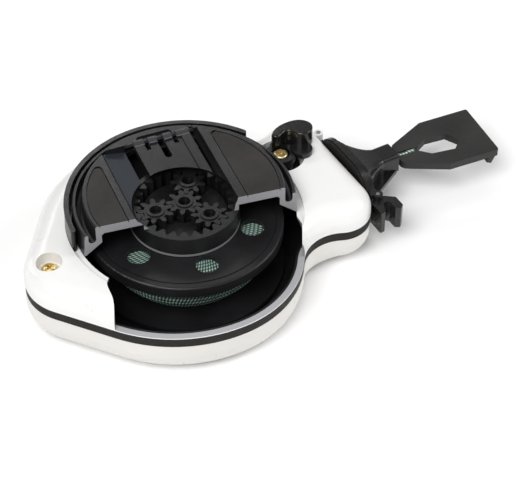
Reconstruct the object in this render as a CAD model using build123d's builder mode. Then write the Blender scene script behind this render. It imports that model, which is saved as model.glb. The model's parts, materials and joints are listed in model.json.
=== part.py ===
from build123d import *
from math import acos, atan2, cos, degrees, hypot, pi, radians, sin, sqrt, tan
import os

os.makedirs("parts", exist_ok=True)

# ---------------------------------------------------------------------------
# Driving dimensions, millimetres and degrees.
# Origin: on the reel's axis, at the plane the case rests on.
# +X runs along the case to the line outlet and the hook, +Z is up.
# ---------------------------------------------------------------------------

# Case halves and the rubber band between them
seam_low = 13.6
band_height = 3.6
seam_high = seam_low + band_height
case_top = 26.5
wall = 2.2
liner_wall = 0.8
line_height = seam_low + band_height / 2
lower_round = 9.0
upper_round = 7.0

# Seam outline: centres and radii of its tangent arcs, near half
tail_centre, tail_radius = (-40, 0), 18.0
body_centre, body_radius = (-3, 0), 47.5
front_centre, front_radius = (-3, -9.5), 38.0
lobe_centre, lobe_radius = (51, -16), 11.0
neck_radius = 14.0
mouth_x = lobe_centre[0] + lobe_radius
neck_rise_x, neck_rise_radius = 34.0, 93.0

# Mouth tunnel
mouth_width, mouth_height = 24.6, 14.4

# Round opening in the case top, the guard's seat and the display window
opening_radius = 37.6
seat_radius = 40.1
seat_z = 25.2
window_sill = seam_high + 0.4

# Shaft, spool and winding
shaft_radius = 2.0
running_gap = 0.05
spool_low, spool_high = 4.0, 24.3
flange_low, flange_high = 1.5, 1.8
flange_radius_low, flange_radius_high = 33.6, 33.3
lip_low = 20.3
spool_hub_radius = 13.5
flange_hole_ring, flange_hole_radius, flange_hole_angle = 23.0, 4.0, 20.0

# Planetary gears
gear_module = 1.15
pressure_angle = 25.0
sun_teeth, planet_teeth, ring_teeth = 9, 9, 27
planet_angles = (55, 175, 295)
addendum, ring_addendum, dedendum = 0.80, 0.70, 1.05
gear_backlash = 0.14
gear_low, gear_high = 28.5, 32.1
ring_low, ring_outer_radius = 25.7, 18.6
carrier_low, carrier_high = 24.6, 25.4
deck_radius, deck_top = 14.2, 28.2
gear_centres = gear_module * (sun_teeth + planet_teeth) / 2

bridge_middle, bridge_half, tab_half = 100.0, 24.0, 20.0
carrier_tab_top = 23.2
carrier_screw_ring, carrier_screw_angles = 40.8, (86.0, 114.0)

# Crank disc; its own axes are turned from the case's
disc_turn = -8.0
cut_turn = -12.6
cut_offset = -9.2
disc_radius, plateau_radius, groove_radius = 37.2, 33.6, 36.1
disc_top, disc_plate_low, rim_top = 37.6, 34.4, 34.4
skirt_inner, skirt_radius, skirt_low = 31.8, 37.8, 26.0
sight_radius = 17.2
sight_azimuth, sight_elevation = -30.0, 43.6
arm_left, arm_right = -7.5, 12.5
slot_left, slot_right = -11.0, 14.0
hinge_y, hinge_z = 29.8, 35.4
arm_low, arm_high = 33.9, 36.2
hinge_mid = 2.0
crescent_z = 34.2
knob_y, knob_x, knob_radius, knob_low = 24.5, 7.5, 4.0, 28.6
channel_left, channel_right, channel_end = -19.6, 15.3, 28.5
left_pad_edge, left_pad_radius = 21.7, 32.3
right_pad_edge, right_pad_radius = 18.4, 32.0

# Crank guard
guard_inner, guard_outer, guard_top = 38.3, 40.0, 34.1
guard_start, guard_end = 30.0, 174.0

# Lock lever
lever_x, lever_y = 42.9, 9.7
lever_floor = 21.6
lever_boss_radius, lever_top = 5.2, 27.8
lug_low, lug_top = 26.8, 33.2

# Screws
tail_screw_x, tail_screw_y = -49.2, 2.0
tail_floor = 22.0
neck_screw_x, neck_screw_y = 49.0, 17.0

# Nozzle, latch and its hinge
collar_x = 62.9
tube_start, tube_end = 77.0, 83.4
tube_width, tube_height = 8.4, 8.0
hinge_x, hinge_pin_y = 63.9, 18.9
hinge_barrel, hinge_pin_radius = 1.7, 0.8
latch_x, latch_y = 65.6, -17.9
latch_low, latch_high = 9.3, 18.3

# Line and hook
line_radius = 0.7
winding_reach = 29.55 + line_radius
lead_end = mouth_x - 1.5
lead_angle = degrees(acos(winding_reach / lead_end))
guide_x = 50.0
guide_y = (lead_end - guide_x) * tan(radians(90 - lead_angle))
hook_x, hook_y, hook_turn = 84.7, -0.3, -6.0
hook_top, hook_thickness, hook_half, hook_length = 16.4, 2.8, 12.2, 34.8
hook_lip_depth = 6.0


def polar(radius, angle, centre=(0, 0)):
    """Point at a radius and angle from a centre."""
    return (centre[0] + radius * cos(radians(angle)), centre[1] + radius * sin(radians(angle)))


def heading(start, end):
    """Angle of the direction from one point to another."""
    return degrees(atan2(end[1] - start[1], end[0] - start[0]))


def touching_centre(centre_a, reach_a, centre_b, reach_b):
    """Point at given distances from two centres, on the right of the way from a to b."""
    span = hypot(centre_b[0] - centre_a[0], centre_b[1] - centre_a[1])
    along = (reach_a**2 - reach_b**2 + span**2) / (2 * span)
    across = sqrt(reach_a**2 - along**2)
    way = heading(centre_a, centre_b)
    return polar(across, way - 90, polar(along, way, centre_a))


neck_centre = touching_centre(
    front_centre, front_radius + neck_radius, lobe_centre, lobe_radius + neck_radius
)


# ---------------------------------------------------------------------------
# Case forms
# ---------------------------------------------------------------------------


def case_face(height, inset):
    """Teardrop outline of the case at a height, moved inward by inset."""
    tail_angle = 180 + degrees(
        acos((body_radius - tail_radius) / (body_centre[0] - tail_centre[0]))
    )
    front_angle = heading(front_centre, neck_centre) % 360
    lobe_angle = heading(lobe_centre, neck_centre) % 360
    with BuildSketch(Plane.XY.offset(height)) as face:
        with BuildLine():
            CenterArc(tail_centre, tail_radius - inset, 180, tail_angle - 180)
            Line(
                polar(tail_radius - inset, tail_angle, tail_centre),
                polar(body_radius - inset, tail_angle, body_centre),
            )
            CenterArc(body_centre, body_radius - inset, tail_angle, 270 - tail_angle)
            CenterArc(front_centre, front_radius - inset, 270, front_angle - 270)
            CenterArc(
                neck_centre, neck_radius + inset, front_angle - 180, lobe_angle - front_angle
            )
            CenterArc(lobe_centre, lobe_radius - inset, lobe_angle, 360 - lobe_angle)
            Line((mouth_x - inset, lobe_centre[1]), (mouth_x - inset, 0))
            mirror(about=Plane.XZ)
        make_face()
    return face.sketch


def lower_form(inset, top=seam_low):
    """Lower half of the case as a solid, its underside rising along the neck."""
    radius = neck_rise_radius - inset
    with BuildPart() as form:
        extrude(case_face(inset, inset), amount=top - inset)
        with BuildSketch(Plane.XZ):
            with BuildLine():
                rise = CenterArc((neck_rise_x, neck_rise_radius), radius, 270, 20)
                Polyline(rise @ 0, (neck_rise_x, -5), ((rise @ 1).X, -5), rise @ 1)
            make_face()
        extrude(amount=60, both=True, mode=Mode.SUBTRACT)
        rim = form.edges().filter_by(lambda e: e.center().Z < 6 and e.bounding_box().size.X > 0.5)
        fillet(rim, lower_round - inset)
    return form.part


def upper_form(inset):
    """Upper half of the case as a solid with a rounded top edge."""
    with BuildPart() as form:
        extrude(case_face(seam_high, inset), amount=case_top - inset - seam_high)
        fillet(form.faces().sort_by(Axis.Z)[-1].edges(), upper_round - inset)
    return form.part


def post(x, y, radius, low, high):
    """Round post standing at a place, kept apart from the current part."""
    with BuildPart() as form:
        with BuildSketch(Plane.XY.offset(low)):
            with Locations((x, y)):
                Circle(radius)
        extrude(amount=high - low)
    return form.part


def ring_sector(inner, outer, low, high, middle, half):
    """Part of a round wall, between two radii, two heights and two angles."""
    reach = outer * 1.5
    with BuildPart() as form:
        with BuildSketch(Plane.XY.offset(low)):
            Circle(outer)
            if inner > 0:
                Circle(inner, mode=Mode.SUBTRACT)
            with BuildLine():
                Polyline(
                    (0, 0),
                    polar(reach, middle - half),
                    polar(reach, middle),
                    polar(reach, middle + half),
                    close=True,
                )
            make_face(mode=Mode.INTERSECT)
        extrude(amount=high - low)
    return form.part


def mouth_tunnel():
    """Space of the filling mouth, through the case's front wall."""
    with BuildPart() as form:
        with BuildSketch(Plane.YZ.offset(mouth_x - 8)):
            with Locations((0, line_height)):
                RectangleRounded(mouth_width, mouth_height, 3)
        extrude(amount=12)
    return form.part


def case_knuckle(low, high):
    """Hinge knuckle standing off the case's front wall at the far side."""
    with BuildPart() as form:
        add(post(hinge_x, hinge_pin_y, hinge_barrel, low, high))
        with BuildSketch(Plane.XY.offset(low)):
            with Locations((hinge_x - 1.9, hinge_pin_y)):
                Rectangle(3.8, 2.4)
        extrude(amount=high - low)
        add(post(hinge_x, hinge_pin_y, hinge_pin_radius, low - 1, high + 1), mode=Mode.SUBTRACT)
    return form.part


def display_window():
    """Space of the window sawn in the near side of the upper half, with a wavy left edge."""
    with BuildPart() as form:
        with BuildSketch(Plane.XY.offset(window_sill)):
            with BuildLine():
                left = Spline((-33, -12), (-37.6, -17.2), (-38.6, -23.0), (-42.5, -30.5), (-48, -37))
                right = Polyline((33.4, -11), (32.4, -22.5), (28.6, -29.0), (34, -39))
                Line(left @ 0, right @ 0)
                Polyline(left @ 1, (-48, -60), (34, -60), right @ 1)
            make_face()
        extrude(amount=20)
    return form.part


# ---------------------------------------------------------------------------
# Case
# ---------------------------------------------------------------------------

neck_screw_places = ((neck_screw_x, neck_screw_y), (neck_screw_x, -neck_screw_y))

with BuildPart() as lower_shell:
    add(lower_form(0))
    add(lower_form(wall), mode=Mode.SUBTRACT)
    add(post(tail_screw_x, tail_screw_y, 4.2, 1, seam_low))
    add(post(0, 0, 6.0, 1, 3.5))
    for place in neck_screw_places:
        add(post(*place, 3.9, 2.4, seam_low))
    add(post(tail_screw_x, tail_screw_y, 1.5, 4.0, 20), mode=Mode.SUBTRACT)
    add(post(0, 0, shaft_radius, 1.5, 6), mode=Mode.SUBTRACT)
    for place in neck_screw_places:
        add(post(*place, 1.6, -1, 20), mode=Mode.SUBTRACT)
        add(post(*place, 3.0, -1, 6.0), mode=Mode.SUBTRACT)
    add(mouth_tunnel(), mode=Mode.SUBTRACT)
    add(case_knuckle(9.4, 12.1))
    # post with an eye that guides the line from the winding to the mouth
    add(post(guide_x, guide_y, 2.2, 2.6, line_height + 2.2))
    with BuildSketch(
        Plane(origin=(guide_x, guide_y, line_height), z_dir=(guide_x - lead_end, guide_y, 0))
    ):
        Circle(line_radius)
    extrude(amount=5, both=True, mode=Mode.SUBTRACT)
lower_shell.part.label = "lower_shell"
export_step(lower_shell.part, "parts/lower_shell.step")

with BuildPart() as upper_shell:
    add(upper_form(0))
    add(upper_form(wall), mode=Mode.SUBTRACT)
    add(post(tail_screw_x, tail_screw_y, 6.8, seam_high, case_top - 1.0))
    add(post(lever_x, lever_y, 10.4, lever_floor - wall, case_top - 1.0))
    add(post(lever_x, lever_y, 3.6, seam_high, lever_floor))
    for place in neck_screw_places:
        add(post(*place, 3.6, seam_high, case_top - 1.5))
    for angle in carrier_screw_angles:
        add(post(*polar(carrier_screw_ring, angle), 2.2, carrier_tab_top, case_top - 2))
    add(post(0, 0, opening_radius, seam_high - 1, case_top + 1), mode=Mode.SUBTRACT)
    add(post(0, 0, seat_radius, seat_z, case_top + 1), mode=Mode.SUBTRACT)
    add(post(tail_screw_x, tail_screw_y, 4.4, tail_floor, case_top + 1), mode=Mode.SUBTRACT)
    add(post(tail_screw_x, tail_screw_y, 1.6, seam_high - 1, case_top), mode=Mode.SUBTRACT)
    add(post(lever_x, lever_y, 8.4, lever_floor, case_top + 1), mode=Mode.SUBTRACT)
    add(post(lever_x, lever_y, 1.45, seam_high - 1, case_top), mode=Mode.SUBTRACT)
    for place in neck_screw_places:
        add(post(*place, 1.3, seam_high - 1, case_top - 6), mode=Mode.SUBTRACT)
    for angle in carrier_screw_angles:
        add(post(*polar(carrier_screw_ring, angle), 0.9, 20, 24.8), mode=Mode.SUBTRACT)
    add(mouth_tunnel(), mode=Mode.SUBTRACT)
    add(display_window(), mode=Mode.SUBTRACT)
    add(case_knuckle(18.7, 21.4))
upper_shell.part.label = "upper_shell"
export_step(upper_shell.part, "parts/upper_shell.step")

with BuildPart() as seam_gasket:
    extrude(case_face(seam_low, 0.15), amount=band_height)
    extrude(case_face(seam_low, wall), amount=band_height, mode=Mode.SUBTRACT)
    add(mouth_tunnel(), mode=Mode.SUBTRACT)
seam_gasket.part.label = "seam_gasket"
export_step(seam_gasket.part, "parts/seam_gasket.step")

outer_skin = wall
inner_skin = outer_skin + liner_wall

with BuildPart() as lower_liner:
    add(lower_form(outer_skin, seam_high - 0.1))
    add(lower_form(inner_skin, seam_high + 5), mode=Mode.SUBTRACT)
    add(post(tail_screw_x, tail_screw_y, 4.4, 0, seam_high), mode=Mode.SUBTRACT)
    add(post(0, 0, 6.2, 0, 6), mode=Mode.SUBTRACT)
    for place in neck_screw_places:
        add(post(*place, 4.1, 0, seam_high), mode=Mode.SUBTRACT)
    add(post(guide_x, guide_y, 2.4, 0, seam_high), mode=Mode.SUBTRACT)
    add(mouth_tunnel(), mode=Mode.SUBTRACT)
lower_liner.part.label = "lower_liner"
export_step(lower_liner.part, "parts/lower_liner.step")

with BuildPart() as upper_liner:
    add(upper_form(outer_skin))
    add(upper_form(inner_skin), mode=Mode.SUBTRACT)
    add(post(0, 0, opening_radius + 0.2, seam_high - 1, case_top), mode=Mode.SUBTRACT)
    add(post(tail_screw_x, tail_screw_y, 7.0, seam_high - 1, case_top), mode=Mode.SUBTRACT)
    add(post(lever_x, lever_y, 10.6, seam_high - 1, case_top), mode=Mode.SUBTRACT)
    for place in neck_screw_places:
        add(post(*place, 3.8, seam_high - 1, case_top), mode=Mode.SUBTRACT)
    add(ring_sector(30, 60, 20, case_top, bridge_middle, bridge_half + 2), mode=Mode.SUBTRACT)
    add(mouth_tunnel(), mode=Mode.SUBTRACT)
    add(display_window(), mode=Mode.SUBTRACT)
upper_liner.part.label = "upper_liner"
export_step(upper_liner.part, "parts/upper_liner.step")


def cross_screw(x, y, head_radius, head_low, head_height, shank_radius, shank_low):
    """Pan-head screw standing upright, with a cross recess in its head."""
    top = head_low + head_height
    with BuildPart() as screw:
        add(post(x, y, head_radius, head_low, top))
        fillet(screw.faces().sort_by(Axis.Z)[-1].edges(), head_height * 0.55)
        add(post(x, y, shank_radius, shank_low, head_low))
        with BuildSketch(Plane.XY.offset(top - head_height * 0.6)):
            with Locations((x, y)):
                Rectangle(head_radius * 1.25, head_radius * 0.3, rotation=20)
                Rectangle(head_radius * 1.25, head_radius * 0.3, rotation=110)
        extrude(amount=head_height, mode=Mode.SUBTRACT)
    return screw.part


with BuildPart() as tail_screw:
    add(cross_screw(tail_screw_x, tail_screw_y, 2.9, tail_floor, 1.9, 1.45, 6.0))
tail_screw.part.label = "tail_screw"
export_step(tail_screw.part, "parts/tail_screw.step")

with BuildPart() as neck_screws:
    for place in neck_screw_places:
        add(post(*place, 2.7, 4.3, 6.0))
        add(post(*place, 1.3, 6.0, 20.0))
neck_screws.part.label = "neck_screws"
export_step(neck_screws.part, "parts/neck_screws.step")


# ---------------------------------------------------------------------------
# Gear teeth
# ---------------------------------------------------------------------------


def roll(radius, base_radius):
    """Involute function of the point at a radius."""
    if radius <= base_radius:
        return 0.0
    angle = acos(base_radius / radius)
    return tan(angle) - angle


def gear_face(height, teeth, tip_radius, root_radius, first_angle, slack):
    """Involute toothed outline with a tooth centred at first_angle, thinned by slack."""
    pitch_radius = gear_module * teeth / 2
    base_radius = pitch_radius * cos(radians(pressure_angle))
    half_pitch = pi / (2 * teeth) - slack / (2 * pitch_radius)
    low = max(base_radius, root_radius)
    radii = (root_radius, low + 0.01, (2 * low + tip_radius) / 3, (low + 2 * tip_radius) / 3, tip_radius)
    points = []
    for tooth in range(teeth):
        middle = first_angle + 360 * tooth / teeth
        flank = []
        for radius in radii:
            half = half_pitch + roll(pitch_radius, base_radius) - roll(radius, base_radius)
            flank.append((radius, degrees(half)))
        points += [polar(radius, middle - half) for radius, half in flank]
        points += [polar(radius, middle + half) for radius, half in reversed(flank)]
    with BuildSketch(Plane.XY.offset(height)) as face:
        with BuildLine():
            Polyline(*points, close=True)
        make_face()
    return face.sketch


def tip_of(teeth, share):
    return gear_module * (teeth / 2 + share)


sun_phase = planet_angles[0] + 180 / sun_teeth


def planet_phase(angle):
    """Tooth angle that puts a planet in mesh with the sun."""
    sun_share = (angle - sun_phase) * sun_teeth / 360
    return angle + 180 - (0.5 - sun_share) * 360 / planet_teeth


ring_phase = (
    planet_angles[0]
    - (planet_angles[0] - planet_phase(planet_angles[0])) * planet_teeth / ring_teeth
)

with BuildPart() as sun_gear:
    extrude(
        gear_face(
            gear_low,
            sun_teeth,
            tip_of(sun_teeth, addendum),
            tip_of(sun_teeth, -dedendum),
            sun_phase,
            gear_backlash,
        ),
        amount=gear_high - gear_low,
    )
    add(post(0, 0, 4.6, spool_high, gear_low))
    add(post(0, 0, 2.9, gear_high, gear_high + 0.4))
    add(post(0, 0, shaft_radius + running_gap, 20, 36), mode=Mode.SUBTRACT)
sun_gear.part.label = "sun_gear"
export_step(sun_gear.part, "parts/sun_gear.step")

for index, angle in enumerate(planet_angles, 1):
    with BuildPart() as planet_gear:
        toothed = gear_face(
            gear_low,
            planet_teeth,
            tip_of(planet_teeth, addendum),
            tip_of(planet_teeth, -dedendum),
            planet_phase(angle),
            gear_backlash,
        )
        shift = Location((*polar(gear_centres, angle), 0))
        extrude(shift * toothed, amount=gear_high - gear_low)
        add(post(*polar(gear_centres, angle), 3.1, gear_high, gear_high + 0.4))
        add(
            post(*polar(gear_centres, angle), shaft_radius + running_gap, 20, 36),
            mode=Mode.SUBTRACT,
        )
    planet_gear.part.label = f"planet_gear_{index}"
    export_step(planet_gear.part, f"parts/planet_gear_{index}.step")

with BuildPart() as ring_gear:
    add(post(0, 0, ring_outer_radius, ring_low, gear_high))
    extrude(
        gear_face(
            ring_low - 1,
            ring_teeth,
            tip_of(ring_teeth, dedendum),
            tip_of(ring_teeth, -ring_addendum),
            ring_phase,
            -gear_backlash,
        ),
        amount=gear_high - ring_low + 2,
        mode=Mode.SUBTRACT,
    )
ring_gear.part.label = "ring_gear"
export_step(ring_gear.part, "parts/ring_gear.step")

# ---------------------------------------------------------------------------
# Gear carrier: fixed plate under the gears, bridged to the case at the far side
# ---------------------------------------------------------------------------

with BuildPart() as gear_carrier:
    add(post(0, 0, ring_outer_radius, carrier_low, carrier_high))
    add(post(0, 0, deck_radius, carrier_high, deck_top))
    add(ring_sector(10, 37.2, carrier_low, carrier_high, bridge_middle, bridge_half))
    add(ring_sector(34.2, 37.2, 21.8, carrier_high, bridge_middle, bridge_half))
    add(ring_sector(34.2, 42.6, 21.6, carrier_tab_top, bridge_middle, tab_half))
    add(post(0, 0, 6.0, 20, 30), mode=Mode.SUBTRACT)
    for angle in planet_angles:
        add(post(*polar(gear_centres, angle), shaft_radius, 20, 30), mode=Mode.SUBTRACT)
    for angle in carrier_screw_angles:
        add(post(*polar(carrier_screw_ring, angle), 0.9, 20, 30), mode=Mode.SUBTRACT)
gear_carrier.part.label = "gear_carrier"
export_step(gear_carrier.part, "parts/gear_carrier.step")

with BuildPart() as planet_pins:
    for angle in planet_angles:
        add(post(*polar(gear_centres, angle), shaft_radius, carrier_low, gear_high - 1.4))
planet_pins.part.label = "planet_pins"
export_step(planet_pins.part, "parts/planet_pins.step")

# ---------------------------------------------------------------------------
# Shaft, spool and line winding
# ---------------------------------------------------------------------------

with BuildPart() as centre_shaft:
    add(post(0, 0, shaft_radius, 1.5, gear_high - 1.8))
centre_shaft.part.label = "centre_shaft"
export_step(centre_shaft.part, "parts/centre_shaft.step")

with BuildPart() as spool:
    add(post(0, 0, flange_radius_low, spool_low, spool_low + flange_low))
    add(post(0, 0, spool_hub_radius, spool_low, spool_high))
    add(post(0, 0, flange_radius_high, lip_low, spool_high))
    add(post(0, 0, flange_radius_high - 1.8, lip_low, spool_high - flange_high), mode=Mode.SUBTRACT)
    add(post(0, 0, spool_hub_radius, spool_low, spool_high))
    fillet(spool.edges().filter_by(GeomType.CIRCLE).group_by(Axis.Z)[-1], 0.6)
    with BuildSketch(Plane.XY.offset(spool_high - 0.3)):
        Circle(31.0)
        Circle(30.5, mode=Mode.SUBTRACT)
    extrude(amount=2, mode=Mode.SUBTRACT)
    with BuildSketch(Plane.XY.offset(spool_high - flange_high - 1)):
        with PolarLocations(flange_hole_ring, 6, start_angle=flange_hole_angle):
            Circle(flange_hole_radius)
    extrude(amount=4, mode=Mode.SUBTRACT)
    with BuildSketch(Plane.XY.offset(spool_low - 1)):
        Circle(spool_hub_radius - 2)
        Circle(5.5, mode=Mode.SUBTRACT)
    extrude(amount=spool_high - spool_low - 1, mode=Mode.SUBTRACT)
    add(post(0, 0, 3.6, 0, 30), mode=Mode.SUBTRACT)
spool.part.label = "spool"
export_step(spool.part, "parts/spool.step")

with BuildPart() as spool_bushes:
    for low, high in ((spool_low, spool_low + 5), (spool_high - 5, spool_high)):
        add(post(0, 0, 3.6, low, high))
    add(post(0, 0, shaft_radius + running_gap, 0, 30), mode=Mode.SUBTRACT)
spool_bushes.part.label = "spool_bushes"
export_step(spool_bushes.part, "parts/spool_bushes.step")

with BuildPart() as line_winding:
    with BuildSketch(Plane.XZ):
        with BuildLine():
            low, high = spool_low + flange_low, spool_high - flange_high
            Polyline((22, low), (spool_hub_radius, low), (spool_hub_radius, high), (29.6, high))
            Spline((29.6, high), (30.0, 19.0), (28.2, 13.5), (22, low))
        make_face()
    revolve(axis=Axis.Z)
line_winding.part.label = "line_winding"
export_step(line_winding.part, "parts/line_winding.step")

# ---------------------------------------------------------------------------
# Crank disc, pads, arm and knob
# ---------------------------------------------------------------------------

disc_plane = Plane.XY.rotated((0, 0, disc_turn))
disc_x, disc_y = disc_plane.x_dir, disc_plane.y_dir
cut_plane = Plane.XY.rotated((0, 0, cut_turn))


def disc_section(y):
    """Plane across the channel at a distance along it; its local axes are x and z."""
    return Plane(origin=disc_y * y, x_dir=disc_x, z_dir=-disc_y)


def sight_hole():
    """Slanted round hole that opens the view on the gears from the front left."""
    azimuth, elevation = radians(sight_azimuth), radians(sight_elevation)
    way = Vector(
        sin(azimuth) * cos(elevation), -cos(azimuth) * cos(elevation), sin(elevation)
    )
    with BuildPart() as form:
        with BuildSketch(Plane.XY.offset(gear_high)) as ring:
            Circle(sight_radius)
        extrude(ring.sketch, amount=16, dir=way)
    return form.part


def display_cut():
    """Space in front of the plane along which the disc is sawn."""
    with BuildPart() as form:
        with BuildSketch(cut_plane.offset(skirt_low - 5)):
            with Locations((0, cut_offset - 30)):
                Rectangle(120, 60)
        extrude(amount=20)
    return form.part


def pad_face(height, edge, radius, side):
    """Segment of the disc's top beyond the channel, on one side of it."""
    with BuildSketch(disc_plane.offset(height)) as face:
        Circle(radius)
        with Locations((side * (edge + 40), 0)):
            Rectangle(80, 120, mode=Mode.INTERSECT)
        fillet(face.vertices(), 1.5)
    return face.sketch


with BuildPart() as crank_disc:
    with BuildSketch(Plane.XZ):
        with BuildLine():
            Polyline(
                (0, disc_plate_low),
                (skirt_inner - 0.8, disc_plate_low),
                (skirt_inner, disc_plate_low - 0.8),
                (skirt_inner, 30.6),
                (disc_radius, skirt_low),
                (skirt_radius, skirt_low),
                (disc_radius, rim_top - 0.3),
                (disc_radius - 0.3, rim_top),
                (groove_radius, rim_top),
                (groove_radius, 32.0),
                (groove_radius - 0.4, 31.2),
                ((groove_radius + plateau_radius) / 2, 30.9),
                (plateau_radius + 0.4, 31.2),
                (plateau_radius, 32.0),
                (plateau_radius, disc_top - 0.4),
                (plateau_radius - 0.4, disc_top),
                (0, disc_top),
                close=True,
            )
        make_face()
    revolve(axis=Axis.Z)
    with BuildSketch(Plane.XY.offset(gear_high)):
        Circle(ring_outer_radius)
        Circle(ring_outer_radius - 1.6, mode=Mode.SUBTRACT)
    extrude(amount=disc_plate_low - gear_high)
    with BuildSketch(disc_plane.offset(33.0)):
        with Locations((0.4, 18)):
            Rectangle(37.6, 24)
    extrude(amount=disc_plate_low - 33.0)
    # the groove is filled under the arm's landing
    add(ring_sector(33.0, 36.6, 31.0, crescent_z, 92 + disc_turn, 25))
    # channel with sloping ledges
    with BuildSketch(disc_section(channel_end)):
        with BuildLine():
            Polyline(
                (channel_left, 39),
                (channel_left, disc_top),
                (channel_left + 0.9, 35.9),
                (slot_left, disc_plate_low + 0.1),
                (slot_right, disc_plate_low + 0.1),
                (channel_right - 0.5, 35.7),
                (channel_right, disc_top),
                (channel_right, 39),
                close=True,
            )
        make_face()
    extrude(amount=60, mode=Mode.SUBTRACT)
    # slot for the arm, and the cross bar of its T
    with BuildSketch(disc_plane.offset(gear_high + 0.3)):
        with Locations(((slot_left + slot_right) / 2, 32.4 / 2)):
            Rectangle(slot_right - slot_left, 32.4)
    extrude(amount=12, mode=Mode.SUBTRACT)
    with BuildSketch(disc_plane.offset(33.4)):
        with Locations((hinge_mid - 0.7, 33.2)):
            RectangleRounded(12.6, 3.4, 1.2)
    extrude(amount=8, mode=Mode.SUBTRACT)
    # landing for the arm when it is folded out
    with BuildSketch(disc_plane.offset(crescent_z)):
        with Locations((-0.2, 36.2)):
            Rectangle(27.6, 8)
    extrude(amount=8, mode=Mode.SUBTRACT)
    # hinge pin hole
    with BuildSketch(Plane(origin=disc_y * hinge_y, x_dir=disc_y, z_dir=disc_x).offset(-12)):
        with Locations((0, hinge_z)):
            Circle(0.8)
    extrude(amount=28.5, mode=Mode.SUBTRACT)
    # seats of the two pads
    for side, edge, radius in (
        (-1, left_pad_edge, left_pad_radius),
        (1, right_pad_edge, right_pad_radius),
    ):
        extrude(pad_face(disc_top - 0.7, edge, radius, side), amount=2, mode=Mode.SUBTRACT)
    add(sight_hole(), mode=Mode.SUBTRACT)
    add(display_cut(), mode=Mode.SUBTRACT)
crank_disc.part.label = "crank_disc"
export_step(crank_disc.part, "parts/crank_disc.step")

for name, side, edge, radius in (
    ("left_pad", -1, left_pad_edge, left_pad_radius),
    ("right_pad", 1, right_pad_edge, right_pad_radius),
):
    with BuildPart() as pad:
        extrude(pad_face(disc_top - 0.7, edge + 0.3, radius - 0.3, side), amount=0.6)
        add(display_cut(), mode=Mode.SUBTRACT)
    pad.part.label = name
    export_step(pad.part, f"parts/{name}.step")

arm_mid = (arm_left + arm_right) / 2
arm_width = arm_right - arm_left

with BuildPart() as crank_arm:
    with BuildSketch(disc_plane.offset(arm_low)):
        with Locations((arm_mid, hinge_y / 2)):
            Rectangle(arm_width, hinge_y)
    extrude(amount=arm_high - arm_low)
    with BuildSketch(Plane(origin=disc_y * hinge_y + disc_x * arm_left, x_dir=disc_y, z_dir=disc_x)):
        with Locations((0, hinge_z)):
            Circle(1.5)
    extrude(amount=arm_width)
    # sunk centre panel between the side rails
    with BuildSketch(disc_plane.offset(arm_high - 0.6)):
        with Locations((arm_mid, 5)):
            Rectangle(arm_width - 6.4, 46)
    extrude(amount=1, mode=Mode.SUBTRACT)
    # stem of the T and the gaps outside the two knuckles
    with BuildSketch(disc_plane.offset(arm_low - 1)):
        with Locations((hinge_mid, hinge_y - 3)):
            RectangleRounded(2.4, 15, 1.1)
        with Locations((hinge_mid - 5.0, hinge_y - 0.8), (hinge_mid + 5.0, hinge_y - 0.8)):
            Rectangle(1.6, 7)
    extrude(amount=6, mode=Mode.SUBTRACT)
    with BuildSketch(Plane(origin=disc_y * hinge_y + disc_x * (arm_left - 1), x_dir=disc_y, z_dir=disc_x)):
        with Locations((0, hinge_z)):
            Circle(0.8 + running_gap)
    extrude(amount=arm_width + 2, mode=Mode.SUBTRACT)
    with BuildSketch(disc_plane.offset(arm_low - 1)):
        with Locations((knob_x, knob_y)):
            Circle(1.4)
    extrude(amount=2.4, mode=Mode.SUBTRACT)
    add(sight_hole(), mode=Mode.SUBTRACT)
crank_arm.part.label = "crank_arm"
export_step(crank_arm.part, "parts/crank_arm.step")

with BuildPart() as arm_pin:
    with BuildSketch(Plane(origin=disc_y * hinge_y, x_dir=disc_y, z_dir=disc_x).offset(-11.8)):
        with Locations((0, hinge_z)):
            Circle(0.8)
    extrude(amount=28)
arm_pin.part.label = "arm_pin"
export_step(arm_pin.part, "parts/arm_pin.step")

with BuildPart() as crank_knob:
    with BuildSketch(disc_plane.offset(knob_low)):
        with Locations((knob_x, knob_y)):
            Circle(knob_radius)
    extrude(amount=arm_low - 0.3 - knob_low)
    fillet(crank_knob.edges(), 0.9)
    with BuildSketch(disc_plane.offset(knob_low)):
        with Locations((knob_x, knob_y)):
            Circle(1.4 + running_gap)
    extrude(amount=10, mode=Mode.SUBTRACT)
    with BuildSketch(disc_plane.offset(knob_low)):
        with Locations((knob_x, knob_y)):
            Circle(2.6)
    extrude(amount=1.3, mode=Mode.SUBTRACT)
crank_knob.part.label = "crank_knob"
export_step(crank_knob.part, "parts/crank_knob.step")

with BuildPart() as knob_pin:
    with BuildSketch(disc_plane.offset(knob_low + 0.2)):
        with Locations((knob_x, knob_y)):
            Circle(2.3)
    extrude(amount=0.8)
    with BuildSketch(disc_plane.offset(knob_low + 0.2)):
        with Locations((knob_x, knob_y)):
            Circle(1.4)
    extrude(amount=arm_low + 1.3 - knob_low - 0.2)
knob_pin.part.label = "knob_pin"
export_step(knob_pin.part, "parts/knob_pin.step")

# ---------------------------------------------------------------------------
# Crank guard
# ---------------------------------------------------------------------------

guard_middle = (guard_start + guard_end) / 2
guard_half = (guard_end - guard_start) / 2

with BuildPart() as crank_guard:
    add(ring_sector(guard_inner, guard_outer, seat_z, guard_top, guard_middle, guard_half))
    for angle in (guard_start, guard_end):
        add(post(*polar((guard_inner + guard_outer) / 2, angle), 0.85, seat_z, guard_top))
crank_guard.part.label = "crank_guard"
export_step(crank_guard.part, "parts/crank_guard.step")

# ---------------------------------------------------------------------------
# Lock lever
# ---------------------------------------------------------------------------

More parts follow.
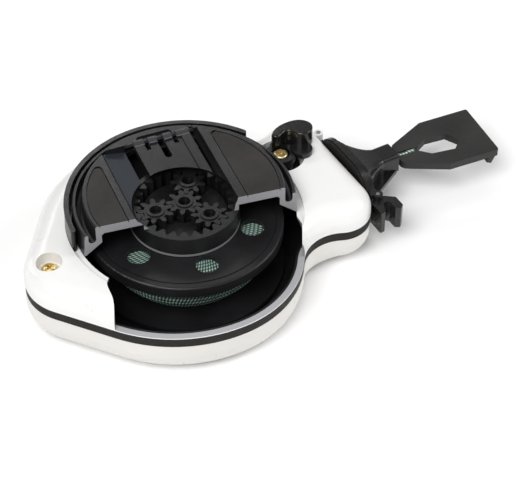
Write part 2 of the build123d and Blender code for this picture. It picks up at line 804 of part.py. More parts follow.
with BuildPart() as lock_lever:
    add(post(lever_x, lever_y, 6.2, lever_floor + 0.9, lever_floor + 2.1))
    add(post(lever_x, lever_y, lever_boss_radius, lever_floor + 0.9, lever_top))
    # hooked thumb lug
    with BuildSketch(Plane.XY.offset(lug_low)):
        with BuildLine():
            Spline(
                (42.0, 14.4),
                (44.6, 16.5),
                (49.6, 17.6),
                (55.0, 16.2),
                (57.0, 12.6),
                (54.8, 9.3),
                (51.3, 9.2),
                (49.4, 11.4),
                (47.6, 13.6),
                (44.8, 12.7),
                (42.6, 12.6),
                periodic=True,
            )
        make_face()
    extrude(amount=lug_top - lug_low)
    fillet(lock_lever.faces().sort_by(Axis.Z)[-1].edges(), 0.5)
    # root of the lug beside the boss
    with BuildSketch(Plane.XY.offset(lever_floor + 2.1)):
        with Locations((44.4, 13.6)):
            Circle(3.2)
    extrude(amount=lug_low - lever_floor - 1.5)
    # thumb tab under the lug's end
    with BuildSketch(Plane.XY.offset(lug_low)):
        with Locations((50.2, 7.4)):
            Circle(3.6)
    extrude(amount=1.8)
    # nose that stops beside the disc's rim
    with BuildSketch(Plane.XY.offset(lever_floor + 2.1)):
        with BuildLine():
            Polyline((43.0, 13.6), (39.2, 13.2), (38.2, 10.9), (42.0, 7.0), close=True)
        make_face()
    extrude(amount=lever_top - lever_floor - 2.6)
    add(post(lever_x, lever_y, 3.3, lever_top - 1.7, lever_top + 1), mode=Mode.SUBTRACT)
    add(post(lever_x, lever_y, 1.45 + running_gap, 20, 30), mode=Mode.SUBTRACT)
lock_lever.part.label = "lock_lever"
export_step(lock_lever.part, "parts/lock_lever.step")

with BuildPart() as lever_washer:
    add(post(lever_x, lever_y, 6.9, lever_floor, lever_floor + 0.6))
    add(post(lever_x, lever_y, 1.6, lever_floor - 1, lever_floor + 2), mode=Mode.SUBTRACT)
lever_washer.part.label = "lever_washer"
export_step(lever_washer.part, "parts/lever_washer.step")

with BuildPart() as lever_screw:
    add(cross_screw(lever_x, lever_y, 2.6, lever_top - 1.5, 1.5, 1.45, seam_high + 0.5))
lever_screw.part.label = "lever_screw"
export_step(lever_screw.part, "parts/lever_screw.step")

# ---------------------------------------------------------------------------
# Nozzle with its gasket, hinge pin, felt and eyelet
# ---------------------------------------------------------------------------


def mouth_section(x, inset):
    """Rounded outline of the case's mouth at a distance along the case."""
    with BuildSketch(Plane.YZ.offset(x)) as face:
        with Locations((0, line_height)):
            RectangleRounded(31.6 - 2 * inset, 21.6 - 2 * inset, 10.2 - inset)
    return face.sketch


def tube_section(x, width, height, radius):
    """Rounded section of the nozzle at a distance along it."""
    with BuildSketch(Plane.YZ.offset(x)) as face:
        with Locations((0, line_height)):
            RectangleRounded(width, height, radius)
    return face.sketch


with BuildPart() as nozzle:
    for start, end, inset in ((collar_x, 64.6, 0.0), (64.6, 66.0, 1.5), (66.0, 67.4, 2.8)):
        extrude(mouth_section(start, inset), amount=end - start)
    loft(
        [
            tube_section(67.4, 23.4, 14.6, 4.4),
            tube_section(70.6, 16.6, 12.0, 3.6),
            tube_section(73.8, 11.4, 9.8, 2.6),
            tube_section(tube_start, tube_width, tube_height, 1.4),
        ]
    )
    extrude(tube_section(tube_start, tube_width, tube_height, 1.4), amount=tube_end - tube_start)
    # flat web under the flare
    with BuildSketch(Plane.XY.offset(line_height - 3.9)):
        with BuildLine():
            Polyline((67.4, -13), (tube_end - 0.6, -4.0), (tube_end - 0.6, 4.0), (67.4, 13), close=True)
        make_face()
    extrude(amount=1.6)
    # hollow inside
    loft(
        [
            tube_section(collar_x - 1, 22.6, 12.6, 3.4),
            tube_section(68.0, 17.6, 9.6, 3.0),
            tube_section(75.0, 6.2, 6.2, 2.6),
        ],
        mode=Mode.SUBTRACT,
    )
    with BuildSketch(Plane.YZ.offset(74.9)):
        with Locations((0, line_height)):
            Circle(3.0)
    extrude(amount=4.0, mode=Mode.SUBTRACT)
    with BuildSketch(Plane.YZ.offset(70)):
        with Locations((0, line_height)):
            Circle(1.6)
    extrude(amount=20, mode=Mode.SUBTRACT)
    with BuildSketch(Plane.YZ.offset(tube_end - 1.2)):
        with Locations((0, line_height)):
            Circle(2.4)
    extrude(amount=5, mode=Mode.SUBTRACT)
    # hinge knuckle on the far side
    with BuildSketch(Plane.XY.offset(line_height - 3)):
        with Locations((hinge_x, hinge_pin_y)):
            Circle(hinge_barrel)
        with Locations((hinge_x + 0.2, hinge_pin_y - 2.4)):
            Rectangle(2.0, 3.6)
    extrude(amount=6)
    with BuildSketch(Plane.XY.offset(line_height - 8)):
        with Locations((hinge_x, hinge_pin_y)):
            Circle(hinge_pin_radius + running_gap)
    extrude(amount=16, mode=Mode.SUBTRACT)
    # ears of the latch on the near side
    for low, high in ((latch_low - 1.8, latch_low - 0.2), (latch_high + 0.2, latch_high + 1.8)):
        with BuildSketch(Plane.XY.offset(low)):
            with Locations((latch_x, latch_y)):
                Circle(1.7)
            with Locations((latch_x - 1.0, latch_y + 3.4)):
                Rectangle(3.0, 6.6)
        extrude(amount=high - low)
    add(post(latch_x, latch_y, 0.7, 5, 25), mode=Mode.SUBTRACT)
nozzle.part.label = "nozzle"
export_step(nozzle.part, "parts/nozzle.step")

with BuildPart() as mouth_gasket:
    extrude(mouth_section(mouth_x + 0.2, 0.5), amount=collar_x - mouth_x - 0.2)
    extrude(tube_section(mouth_x - 1, 22.6, 12.6, 3.4), amount=4, mode=Mode.SUBTRACT)
mouth_gasket.part.label = "mouth_gasket"
export_step(mouth_gasket.part, "parts/mouth_gasket.step")

with BuildPart() as nozzle_pin:
    add(post(hinge_x, hinge_pin_y, hinge_pin_radius, 9.2, 21.6))
nozzle_pin.part.label = "nozzle_pin"
export_step(nozzle_pin.part, "parts/nozzle_pin.step")


def washer_on_line(start, end, outer, inner):
    """Round ring about the line's straight run through the nozzle."""
    with BuildPart() as form:
        with BuildSketch(Plane.YZ.offset(start)):
            with Locations((0, line_height)):
                Circle(outer)
                Circle(inner, mode=Mode.SUBTRACT)
        extrude(amount=end - start)
    return form.part


with BuildPart() as felt_wiper:
    add(washer_on_line(75.3, 78.9, 3.0, 0.9))
felt_wiper.part.label = "felt_wiper"
export_step(felt_wiper.part, "parts/felt_wiper.step")

with BuildPart() as line_eyelet:
    add(washer_on_line(tube_end - 1.2, tube_end, 2.4, 1.1))
    add(washer_on_line(tube_end, tube_end + 0.6, 3.1, 1.1))
    fillet(line_eyelet.faces().sort_by(Axis.X)[-1].edges(), 0.25)
line_eyelet.part.label = "line_eyelet"
export_step(line_eyelet.part, "parts/line_eyelet.step")

with BuildPart() as nozzle_latch:
    add(post(latch_x, latch_y, 1.7, latch_low, latch_high))
    # finger beside the case, and the longer thumb finger
    with BuildSketch(Plane.XY.offset(latch_low)):
        with BuildLine():
            Polyline(
                (latch_x - 1.2, latch_y + 0.6),
                (latch_x - 3.3, -18.9),
                (latch_x - 3.4, -25.6),
                (latch_x - 1.6, -25.4),
                (latch_x - 0.2, -22.3),
                (latch_x + 0.2, -21.2),
                (latch_x + 1.7, -21.0),
                (latch_x + 2.6, -22.0),
                (latch_x + 2.5, -25.4),
                (latch_x + 4.2, -26.4),
                (latch_x + 5.6, -25.2),
                (latch_x + 5.6, -20.6),
                (latch_x + 1.5, latch_y + 0.4),
                close=True,
            )
        make_face()
    extrude(amount=latch_high - latch_low)
    fillet(nozzle_latch.edges().filter_by(Axis.Z).sort_by(Axis.Y)[0:3], 0.4)
    add(post(latch_x, latch_y, 0.7 + running_gap, 5, 25), mode=Mode.SUBTRACT)
nozzle_latch.part.label = "nozzle_latch"
export_step(nozzle_latch.part, "parts/nozzle_latch.step")

with BuildPart() as latch_pin:
    add(post(latch_x, latch_y, 0.7, latch_low - 1.8, latch_high + 1.8))
latch_pin.part.label = "latch_pin"
export_step(latch_pin.part, "parts/latch_pin.step")

# ---------------------------------------------------------------------------
# Hook and line
# ---------------------------------------------------------------------------

hook_plane = Plane(origin=(hook_x, hook_y, 0), x_dir=polar(1, hook_turn), z_dir=(0, 0, 1))
hook_x_way, hook_y_way = hook_plane.x_dir, hook_plane.y_dir
slot_half = 1.0
knot_start = 5.9

with BuildPart() as hook:
    with BuildSketch(hook_plane.offset(hook_top - hook_thickness)) as hook_face:
        with BuildLine():
            Polyline(
                (0, -4.6),
                (2.6, -6.0),
                (15.4, -hook_half),
                (hook_length, -hook_half),
                (hook_length, hook_half),
                (15.4, hook_half),
                (2.6, 6.0),
                (0, 4.6),
                close=True,
            )
        make_face()
        fillet(hook_face.vertices().group_by(Axis.X)[0], 2.6)
        fillet(hook_face.vertices().sort_by(Axis.X)[-2:], 0.8)
    extrude(amount=hook_thickness)
    # lip bent down and back along the far end
    with BuildSketch(Plane(origin=hook_plane.origin, x_dir=hook_x_way, z_dir=-hook_y_way)):
        with BuildLine():
            Polyline(
                (hook_length, hook_top - 1.0),
                (hook_length - 2.4, hook_top - hook_lip_depth),
                (hook_length - 4.2, hook_top - hook_lip_depth + 0.8),
                (hook_length - 2.8, hook_top - 1.4),
                close=True,
            )
        make_face()
    extrude(amount=hook_half - 0.4, both=True)
    # keyhole with the line's slot
    with BuildSketch(hook_plane.offset(hook_top - 5)) as keyhole:
        with BuildLine():
            Polyline(
                (8.4, 0.6),
                (13.4, 3.6),
                (21.2, 3.2),
                (24.4, -1.8),
                (20.8, -5.6),
                (12.0, -4.6),
                (8.4, -1.4),
                close=True,
            )
        make_face()
        fillet(keyhole.vertices().sort_by(Axis.X)[2:], 0.8)
        with Locations((4.2, 0)):
            Rectangle(9.4, 2 * slot_half)
    extrude(amount=8, mode=Mode.SUBTRACT)
hook.part.label = "hook"
export_step(hook.part, "parts/hook.step")

line_end = hook_plane.from_local_coords((knot_start + 1.2, 0, line_height))

with BuildPart() as line_outer:
    with BuildLine() as outer_path:
        FilletPolyline(
            (mouth_x - 1.2, 0, line_height),
            (tube_end + 1.0, 0, line_height),
            hook_plane.from_local_coords((1.8, 0, line_height)),
            line_end,
            radius=2.0,
        )
    with BuildSketch(Plane.YZ.offset(mouth_x - 1.2)):
        with Locations((0, line_height)):
            Circle(line_radius)
    sweep(path=outer_path.line)
line_outer.part.label = "line_outer"
export_step(line_outer.part, "parts/line_outer.step")

with BuildPart() as line_knot:
    with BuildSketch(
        Plane(
            origin=hook_plane.from_local_coords((knot_start - 1.2, 0, line_height)),
            z_dir=hook_x_way,
        )
    ):
        Circle(slot_half)
        Circle(line_radius, mode=Mode.SUBTRACT)
    extrude(amount=2.4)
line_knot.part.label = "line_knot"
export_step(line_knot.part, "parts/line_knot.step")

with BuildPart() as line_lead:
    with BuildLine() as lead_path:
        Line(
            (*polar(winding_reach, lead_angle), line_height),
            (lead_end, 0, line_height),
        )
    with BuildSketch(Plane(origin=lead_path.line @ 0, z_dir=lead_path.line % 0)):
        Circle(line_radius)
    sweep(path=lead_path.line)
line_lead.part.label = "line_lead"
export_step(line_lead.part, "parts/line_lead.step")

with BuildPart() as carrier_screws:
    for angle in carrier_screw_angles:
        add(post(*polar(carrier_screw_ring, angle), 1.7, 20.4, 21.6))
        add(post(*polar(carrier_screw_ring, angle), 0.9, 21.6, 24.6))
carrier_screws.part.label = "carrier_screws"
export_step(carrier_screws.part, "parts/carrier_screws.step")
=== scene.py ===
import json
import math
import bmesh
import bpy
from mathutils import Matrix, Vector


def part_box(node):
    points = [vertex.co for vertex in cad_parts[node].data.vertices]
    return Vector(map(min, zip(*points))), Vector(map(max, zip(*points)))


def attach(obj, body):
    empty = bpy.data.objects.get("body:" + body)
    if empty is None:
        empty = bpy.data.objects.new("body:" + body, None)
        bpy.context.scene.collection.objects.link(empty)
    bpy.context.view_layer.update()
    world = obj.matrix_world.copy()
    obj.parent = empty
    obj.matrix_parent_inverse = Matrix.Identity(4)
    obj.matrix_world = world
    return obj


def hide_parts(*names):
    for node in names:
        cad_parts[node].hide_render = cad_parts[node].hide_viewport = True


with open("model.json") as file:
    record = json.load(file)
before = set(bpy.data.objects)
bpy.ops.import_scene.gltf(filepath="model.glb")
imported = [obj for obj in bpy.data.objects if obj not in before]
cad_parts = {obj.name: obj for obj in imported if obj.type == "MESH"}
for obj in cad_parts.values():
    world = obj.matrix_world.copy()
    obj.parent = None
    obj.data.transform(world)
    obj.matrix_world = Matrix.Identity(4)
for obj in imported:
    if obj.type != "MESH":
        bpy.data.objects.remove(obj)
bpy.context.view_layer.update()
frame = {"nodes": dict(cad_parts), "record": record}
nodes = frame["nodes"]
MM = 0.001
scene = bpy.context.scene


# ---------------------------------------------------------------------------
# Camera, light and floor
# ---------------------------------------------------------------------------

CAMERA_AZIMUTH = math.radians(-30.0)
CAMERA_ELEVATION = math.radians(43.6)
CAMERA_DISTANCE = 0.622
CAMERA_TARGET = Vector((0.0161, -0.0225, 0.0243))
CAMERA_LENS = 130
CAMERA_SENSOR = 36
CAMERA_CLIP_START = 0.01

# name: place, point aimed at, (width, height), power in watts
LIGHTS = {
    "key": ((-0.62, -0.45, 1.0), (0, 0.02, 0), (0.7, 0.7), 13.0),
    "right": ((0.55, -0.25, 0.42), (0.03, 0, 0.01), (0.22, 0.45), 1.7),
    "back": ((0.05, 0.52, 0.42), (0, 0, 0.02), (0.5, 0.07), 0.7),
}
WORLD_COLOR = (1, 1, 1, 1)
WORLD_STRENGTH = 0.33

FLOOR_REACH = 3.0
FLOOR_HEIGHT = -0.3 * MM


def turned_to(way):
    """Rotation that makes a camera or a lamp look against a direction."""
    return way.to_track_quat("Z", "Y").to_euler()


def add_object(name, data):
    made = bpy.data.objects.new(name, data)
    scene.collection.objects.link(made)
    return made


back = Vector(
    (
        math.sin(CAMERA_AZIMUTH) * math.cos(CAMERA_ELEVATION),
        -math.cos(CAMERA_AZIMUTH) * math.cos(CAMERA_ELEVATION),
        math.sin(CAMERA_ELEVATION),
    )
)
lens = bpy.data.cameras.new("camera")
lens.lens = CAMERA_LENS
lens.sensor_width = CAMERA_SENSOR
lens.clip_start = CAMERA_CLIP_START
camera = add_object("camera", lens)
camera.location = CAMERA_TARGET + back * CAMERA_DISTANCE
camera.rotation_euler = turned_to(back)
scene.camera = camera

for name, (place, aim, size, power) in LIGHTS.items():
    lamp = bpy.data.lights.new(name, "AREA")
    lamp.shape = "RECTANGLE"
    lamp.size, lamp.size_y = size
    lamp.energy = power
    holder = add_object(name, lamp)
    holder.location = place
    holder.rotation_euler = turned_to(Vector(place) - Vector(aim))

world = bpy.data.worlds.new("studio")
scene.world = world
world.use_nodes = True
sky = world.node_tree.nodes["Background"]
sky.inputs["Color"].default_value = WORLD_COLOR
sky.inputs["Strength"].default_value = WORLD_STRENGTH
scene.view_settings.view_transform = "Standard"

floor_mesh = bpy.data.meshes.new("floor")
floor_corners = [
    (FLOOR_REACH * side_x, FLOOR_REACH * side_y, FLOOR_HEIGHT)
    for side_x, side_y in ((-1, -1), (1, -1), (1, 1), (-1, 1))
]
floor_mesh.from_pydata(floor_corners, [], [(0, 1, 2, 3)])
floor = add_object("floor", floor_mesh)


# ---------------------------------------------------------------------------
# Shader helpers
# ---------------------------------------------------------------------------


class Shader:
    """A node material with short helpers for its maths; masks are one inside, zero outside."""

    def __init__(self, name, color, roughness, **sockets):
        self.material = bpy.data.materials.new(name)
        self.material.use_nodes = True
        self.material.diffuse_color = (*color, 1)
        self.tree = self.material.node_tree
        self.body = self.tree.nodes["Principled BSDF"]
        self.body.inputs["Base Color"].default_value = (*color, 1)
        self.body.inputs["Roughness"].default_value = roughness
        for socket, value in sockets.items():
            self.body.inputs[socket.replace("_", " ")].default_value = value

    def node(self, kind, **settings):
        made = self.tree.nodes.new(kind)
        for key, value in settings.items():
            setattr(made, key, value)
        return made

    def link(self, source, sink):
        self.tree.links.new(source, sink)

    # Coordinates and directions

    def place(self):
        return self.node("ShaderNodeTexCoord").outputs["Object"]

    def normal(self):
        return self.node("ShaderNodeNewGeometry").outputs["True Normal"]

    def split(self, vector):
        made = self.node("ShaderNodeSeparateXYZ")
        self.link(vector, made.inputs[0])
        return made.outputs

    def dot(self, vector, way):
        """Component of a vector along a fixed direction."""
        made = self.node("ShaderNodeVectorMath", operation="DOT_PRODUCT")
        self.link(vector, made.inputs[0])
        made.inputs[1].default_value = way
        return made.outputs["Value"]

    # Maths

    def math(self, operation, first, second=0.0):
        made = self.node("ShaderNodeMath", operation=operation)
        for sink, value in zip(made.inputs, (first, second)):
            if isinstance(value, (int, float)):
                sink.default_value = value
            else:
                self.link(value, sink)
        return made.outputs[0]

    def add(self, first, second):
        return self.math("ADD", first, second)

    def times(self, first, second):
        return self.math("MULTIPLY", first, second)

    def above(self, value, limit):
        return self.math("GREATER_THAN", value, limit)

    def below(self, value, limit):
        return self.math("LESS_THAN", value, limit)

    def between(self, value, low, high):
        return self.times(self.above(value, low), self.below(value, high))

    def radius(self, x, y):
        """Distance from the reel's axis."""
        return self.math("SQRT", self.add(self.math("POWER", x, 2.0), self.math("POWER", y, 2.0)))

    def noise(self, scale, detail, rough=0.5):
        made = self.node("ShaderNodeTexNoise")
        made.inputs["Scale"].default_value = scale
        made.inputs["Detail"].default_value = detail
        made.inputs["Roughness"].default_value = rough
        self.link(self.place(), made.inputs["Vector"])
        return made.outputs["Fac"]

    def span(self, value, low, high, out_low=0.0, out_high=1.0):
        """Stretches the range from low to high, and no further, over another range."""
        made = self.node("ShaderNodeMapRange")
        made.inputs["From Min"].default_value = low
        made.inputs["From Max"].default_value = high
        made.inputs["To Min"].default_value = out_low
        made.inputs["To Max"].default_value = out_high
        self.link(value, made.inputs["Value"])
        return made.outputs["Result"]

    def blend_color(self, factor, first, second):
        made = self.node("ShaderNodeMix", data_type="RGBA")
        self.link(factor, made.inputs["Factor"])
        for socket, value in (("A", first), ("B", second)):
            sink = [i for i in made.inputs if i.name == socket and i.type == "RGBA"][0]
            if isinstance(value, tuple):
                sink.default_value = (*value, 1)
            else:
                self.link(value, sink)
        return [o for o in made.outputs if o.type == "RGBA"][0]

    # Sockets of the surface

    def color(self, source):
        self.link(source, self.body.inputs["Base Color"])

    def recolor(self, mask, color):
        """Lays a colour over the present one inside the mask."""
        under = self.body.inputs["Base Color"].links[0].from_socket
        self.color(self.blend_color(mask, under, color))

    def roughness(self, source):
        self.link(source, self.body.inputs["Roughness"])

    def bump(self, height, strength, distance):
        made = self.node("ShaderNodeBump")
        made.inputs["Strength"].default_value = strength
        made.inputs["Distance"].default_value = distance
        self.link(height, made.inputs["Height"])
        self.link(made.outputs["Normal"], self.body.inputs["Normal"])


def scaled(color, factor, lift=0.0):
    return tuple(min(1, channel * factor + lift) for channel in color)


# ---------------------------------------------------------------------------
# Kinds of material
# ---------------------------------------------------------------------------


def moulded(name, color, roughness, grain=0.25, grain_scale=2600, specular=0.5):
    """Moulded plastic or rubber: fine grain, faint colour drift and scuffs in the sheen."""
    shader = Shader(name, color, roughness, Specular_IOR_Level=specular)
    drift = shader.span(shader.noise(70, 3), 0.3, 0.7)
    shader.color(shader.blend_color(drift, scaled(color, 0.8), scaled(color, 1.35, 0.002)))
    scuffs = shader.noise(420, 5, rough=0.65)
    shader.roughness(shader.span(scuffs, 0.3, 0.75, roughness - 0.06, roughness + 0.09))
    shader.bump(shader.noise(grain_scale, 2), grain, 0.04 * MM)
    return shader


def metal(name, color, roughness):
    """Bare or plated metal with faint tarnish."""
    shader = Shader(name, color, roughness, Metallic=1.0)
    tarnish = shader.span(shader.noise(500, 4), 0.35, 0.7)
    shader.color(shader.blend_color(tarnish, color, scaled(color, 0.62)))
    wear = shader.noise(1500, 3)
    shader.roughness(shader.span(wear, 0.3, 0.7, roughness - 0.07, roughness + 0.1))
    shader.bump(shader.noise(2400, 3), 0.15, 0.03 * MM)
    return shader


def enamel(name, color):
    """White stove enamel: slight drift in tone, rare specks, orange peel and a thin clear sheen."""
    shader = Shader(name, color, 0.33, Coat_Weight=0.3, Coat_Roughness=0.15)
    drift = shader.span(shader.noise(26, 3), 0.35, 0.65)
    shader.color(shader.blend_color(drift, color, scaled(color, 1.03)))
    specks = shader.span(shader.noise(1300, 2), 0.74, 0.78)
    patches = shader.span(shader.noise(60, 2), 0.5, 0.6)
    shader.recolor(shader.times(specks, patches), scaled(color, 0.8))
    shader.roughness(shader.span(shader.noise(160, 4), 0.3, 0.7, 0.26, 0.4))
    shader.bump(shader.noise(900, 2), 0.12, 0.06 * MM)
    return shader


LINE_PITCH = 1.4 * MM
STITCH_LENGTH = 1.1 * MM
STITCHES_PER_RADIAN = 24.0
FULL_TURN = 6.2832


def braided(name, dark, pale, wound):
    """Plaited cord in rows of slanting stitches, straight along X or wound about the axis."""
    shader = Shader(name, dark, 0.85)
    x, y, z = shader.split(shader.place())
    if wound:
        row = shader.math("DIVIDE", shader.math("SUBTRACT", shader.radius(x, y), z), LINE_PITCH)
        run = shader.times(shader.math("ARCTAN2", y, x), STITCHES_PER_RADIAN)
    else:
        row = shader.math("DIVIDE", y, LINE_PITCH)
        run = shader.math("DIVIDE", x, STITCH_LENGTH)
    wobble = shader.times(shader.math("SUBTRACT", shader.noise(420, 2), 0.5), 0.9)
    slant = shader.add(run, shader.times(row, 0.5))
    stitch = shader.math("SINE", shader.add(shader.times(slant, FULL_TURN), wobble))
    ridge = shader.math("SINE", shader.add(shader.times(row, FULL_TURN), wobble))
    relief = shader.add(shader.times(stitch, 0.55), shader.times(ridge, 0.45))
    tone = shader.blend_color(shader.span(relief, -0.1, 0.55), dark, pale)
    dust = shader.span(shader.noise(240, 4), 0.35, 0.7)
    shader.color(shader.blend_color(shader.times(dust, 0.35), tone, dark))
    shader.bump(relief, 0.7, 0.3 * MM)
    return shader


# ---------------------------------------------------------------------------
# Materials with a place of their own on the part
# ---------------------------------------------------------------------------

# The plane in which the crank disc and its pads are sawn off, and how deep its bare face reaches
SAW_WAY = (0.2181, 0.9759, 0.0)
SAW_PLACE = -9.2 * MM
SAW_DEPTH = 0.12 * MM
SAWN = (0.27, 0.27, 0.285)

# The display window in the upper shell: its sill, and its sawn faces left and right
SILL_TOP = 17.8 * MM
FACE_LOW = 17.5 * MM
FACE_BACK = -11 * MM
RIGHT_FACE = (27.5 * MM, 35 * MM)
LEFT_FACE = (-49 * MM, -32.5 * MM)
# Greys of the bare cut metal: the up-facing sill painted palest and the left face a little paler
# than the right, as painted light and shade
SAWN_SILL = (0.36, 0.36, 0.375)
SAWN_LEFT = (0.3, 0.3, 0.3)

# The crank arm's channel in the disc
ARM_WAY = (0.1392, 0.9903, 0.0)
ARM_SIDE = (0.9903, -0.1392, 0.0)
# Where the arm's knuckles start; they get a painted highlight
KNUCKLES_START = 28.0 * MM
# Tilt range and right limit of the left ledge that gets a painted bluish reflection
LEDGE_LEAN = (0.12, 0.24)
LEDGE_RIGHT = -4 * MM

# The painted highlight round the foot of the gear carrier's cup, on its near side
FOOT_HIGHLIGHT_RADIUS = 18.45 * MM
FOOT_HIGHLIGHT_BACK = 8 * MM


def sawn(shader):
    """Bare light face where the crank disc is sawn off."""
    across = shader.dot(shader.place(), SAW_WAY)
    shader.recolor(shader.below(across, SAW_PLACE + SAW_DEPTH), SAWN)
    return shader


def top_enamel():
    """Upper shell's enamel, with bare metal on the window's sill and sawn faces; the sill is
    painted paler and the left face a little paler than the right, as painted light and shade.
    """
    shader = enamel("white_enamel_top", (0.80, 0.797, 0.785))
    x, y, z = shader.split(shader.place())
    normal_x, _, normal_z = shader.split(shader.normal())
    sill = shader.times(shader.below(z, SILL_TOP), shader.above(normal_z, 0.5))
    wall = shader.times(shader.above(z, FACE_LOW), shader.below(y, FACE_BACK))
    right_wall = shader.times(wall, shader.between(x, *RIGHT_FACE))
    left_wall = shader.times(wall, shader.between(x, *LEFT_FACE))
    # Painted light and shade: one bare metal coloured by which way each face looks
    shader.recolor(sill, SAWN_SILL)
    shader.recolor(shader.times(right_wall, shader.below(normal_x, -0.35)), SAWN)
    shader.recolor(shader.times(left_wall, shader.above(normal_x, 0.4)), SAWN_LEFT)
    return shader


def disc_plastic():
    """Crank disc's plastic, with a painted bluish reflection on the leaning ledge left of the arm's
    channel.
    """
    shader = sawn(moulded("disc_plastic", (0.008, 0.008, 0.009), 0.34, 0.22, specular=0.42))
    ledge_reflection = shader.between(shader.dot(shader.normal(), ARM_SIDE), *LEDGE_LEAN)
    left = shader.below(shader.split(shader.place())[0], LEDGE_RIGHT)
    # Painted reflection: a bluish grey laid on the leaning ledge
    shader.recolor(shader.times(ledge_reflection, left), (0.020, 0.024, 0.031))
    return shader


def arm_plastic():
    """Crank arm's plastic, painted paler on the knuckles at its hinge as a highlight, and smoother
    there.
    """
    shader = moulded("arm_plastic", (0.006, 0.006, 0.0065), 0.36, 0.2, specular=0.35)
    knuckle_highlight_and_gloss = shader.above(shader.dot(shader.place(), ARM_WAY), KNUCKLES_START)
    # Painted highlight: the knuckles are coloured paler
    shader.recolor(knuckle_highlight_and_gloss, (0.045, 0.045, 0.048))
    shader.roughness(shader.span(knuckle_highlight_and_gloss, 0, 1, 0.36, 0.2))
    return shader


def carrier_plastic():
    """Gear carrier's plastic, with a pale painted highlight round the foot of its cup."""
    shader = moulded("carrier_plastic", (0.004, 0.004, 0.0045), 0.5, specular=0.3)
    x, y, _ = shader.split(shader.place())
    foot_highlight = shader.above(shader.radius(x, y), FOOT_HIGHLIGHT_RADIUS)
    # Painted highlight: pale grey round the cup's foot, near side only
    shader.recolor(shader.times(foot_highlight, shader.below(y, FOOT_HIGHLIGHT_BACK)), (0.2, 0.2, 0.21))
    return shader


arm = arm_plastic()
dark_steel = metal("black_steel", (0.05, 0.05, 0.055), 0.34)
# The wound turns use the braid's colours painted darker, as painted shade under the spool's flange
shaded_wound_line = braided("shaded_wound_line", (0.012, 0.045, 0.033), (0.42, 0.56, 0.49), wound=True)

# Shader of each CAD material slot
finish = {
    "white_paint": top_enamel(),
    "seam_rubber": moulded("black_rubber", (0.009, 0.007, 0.006), 0.6, 0.4, 1800, specular=0.3),
    "liner_black": moulded("liner_plastic", (0.006, 0.006, 0.007), 0.5, 0.3, specular=0.3),
    "disc_black": disc_plastic(),
    "pad_grey": sawn(moulded("pad_plastic", (0.021, 0.018, 0.016), 0.55, 0.5, 1500, 0.35)),
    "gear_black": moulded("gear_plastic", (0.007, 0.007, 0.0075), 0.36, specular=0.35),
    "carrier_black": carrier_plastic(),
    "guard_black": moulded("guard_plastic", (0.007, 0.007, 0.007), 0.3, 0.2, specular=0.45),
    "spool_black": moulded("spool_plastic", (0.008, 0.008, 0.009), 0.38, specular=0.35),
    "line_braid": braided("braided_line", (0.06, 0.16, 0.12), (0.80, 0.88, 0.84), wound=False),
    "lever_black": moulded("lever_plastic", (0.006, 0.006, 0.006), 0.16, 0.08),
    "brass": metal("yellow_zinc", (0.95, 0.78, 0.42), 0.36),
    "steel": metal("dull_steel", (0.42, 0.42, 0.43), 0.35),
    "pin_steel": dark_steel,
    "nozzle_black": moulded("nozzle_plastic", (0.007, 0.007, 0.007), 0.24, 0.15),
    "felt": moulded("felt", (0.3, 0.3, 0.28), 0.95, 1.0, 900),
    "hook_black": moulded("hook_coat", (0.016, 0.015, 0.0145), 0.52, 0.7, 1400, 0.45),
    "bush_plastic": moulded("acetal", (0.5, 0.5, 0.47), 0.45),
}
# Pieces that differ from the others in their slot
special = {
    # The lower shell has the same white enamel painted darker, as painted shade
    "lower_shell": enamel("white_enamel_low_shaded", (0.72, 0.70, 0.67)),
    "crank_arm": arm,
    "crank_knob": arm,
    "knob_pin": dark_steel,
}
slot_of = {entry["node"]: entry["material_slot"] for entry in frame["record"]["subparts"]}
for name, item in nodes.items():
    item.data.materials.clear()
    item.data.materials.append(special.get(name, finish[slot_of[name]]).material)

floor_shader = Shader("pale_floor", (0.93, 0.93, 0.93), 0.9)
floor_drift = floor_shader.noise(3, 2)
floor_shader.color(floor_shader.blend_color(floor_drift, (0.92, 0.92, 0.92), (0.94, 0.94, 0.94)))
floor.data.materials.append(floor_shader.material)


# ---------------------------------------------------------------------------
# Turns of the wound line, each a rounded bead, inside the CAD winding's outline
# ---------------------------------------------------------------------------

HUB_RADIUS = 13.6 * MM
LATHE_STEPS = 240

# Rows of turns up the winding's outside, which draws in towards its foot
SIDE_ROWS = 12
SIDE_BEAD_POINTS = 6
SIDE_BEAD_HEIGHT = 0.62 * MM
SIDE_BEAD_SINK = 0.45 * MM
SIDE_INSET = 0.25 * MM
FOOT_DRAW_IN = 7.6 * MM
FOOT_CURVE = 2.4
FOOT_LIFT = 0.05 * MM

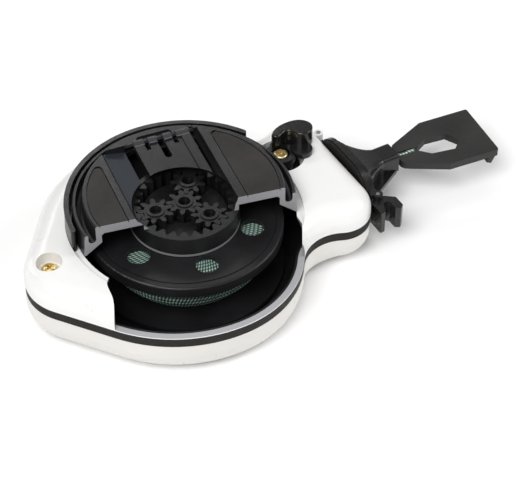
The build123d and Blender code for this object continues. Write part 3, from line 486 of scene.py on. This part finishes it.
# Rings of turns across the winding's top, from the outside to the hub
TOP_RINGS = 11
TOP_BEAD_POINTS = 4
TOP_BEAD_WIDTH = 0.66 * MM
TOP_BEAD_HEIGHT = 0.4 * MM
TOP_BEAD_SINK = 0.45 * MM
TOP_START = 1.6
TOP_PITCH = 1.35
HUB_SINK = 0.5 * MM


def bead_angles(points):
    return [math.pi * (part + 0.5) / points for part in range(points)]


def winding_outline():
    """Closed outline of the winding as (radius, height) points, from the hub's foot outwards."""
    low_corner, high_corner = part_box("line_winding")
    bottom, top, reach = low_corner[2], high_corner[2], high_corner[0]
    half_row = 0.5 * (top - bottom) / SIDE_ROWS
    outline = [(HUB_RADIUS, bottom + FOOT_LIFT)]
    for row in range(SIDE_ROWS):
        middle = bottom + (row + 0.5) * (top - bottom) / SIDE_ROWS
        share = (middle - bottom) / (top - bottom)
        swell = reach - SIDE_INSET - FOOT_DRAW_IN * (1 - share) ** FOOT_CURVE
        for angle in bead_angles(SIDE_BEAD_POINTS):
            radius = swell - SIDE_BEAD_SINK + SIDE_BEAD_HEIGHT * math.sin(angle)
            outline.append((radius, middle - half_row * math.cos(angle)))
    for ring in range(TOP_RINGS):
        middle = reach - (TOP_START + TOP_PITCH * ring) * MM
        for angle in bead_angles(TOP_BEAD_POINTS):
            height = top - TOP_BEAD_SINK + TOP_BEAD_HEIGHT * math.sin(angle)
            outline.append((middle + TOP_BEAD_WIDTH * math.cos(angle), height))
    outline.append((HUB_RADIUS, top - HUB_SINK))
    return outline


def lathe(name, outline, around):
    """Closed smooth body of revolution about the reel's axis from (radius, height) points."""
    work = bmesh.new()
    rings = []
    for step in range(around):
        turn = 2 * math.pi * step / around
        ring = [work.verts.new((r * math.cos(turn), r * math.sin(turn), h)) for r, h in outline]
        rings.append(ring)
    for step in range(around):
        here, there = rings[step], rings[(step + 1) % around]
        for low in range(len(outline)):
            high = (low + 1) % len(outline)
            work.faces.new((here[low], there[low], there[high], here[high]))
    bmesh.ops.recalc_face_normals(work, faces=work.faces)
    for face in work.faces:
        face.smooth = True
    mesh = bpy.data.meshes.new(name)
    work.to_mesh(mesh)
    work.free()
    return add_object(name, mesh)


winding = lathe("winding_turns", winding_outline(), LATHE_STEPS)
winding.data.materials.append(shaded_wound_line.material)
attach(winding, "spool")
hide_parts("line_winding")
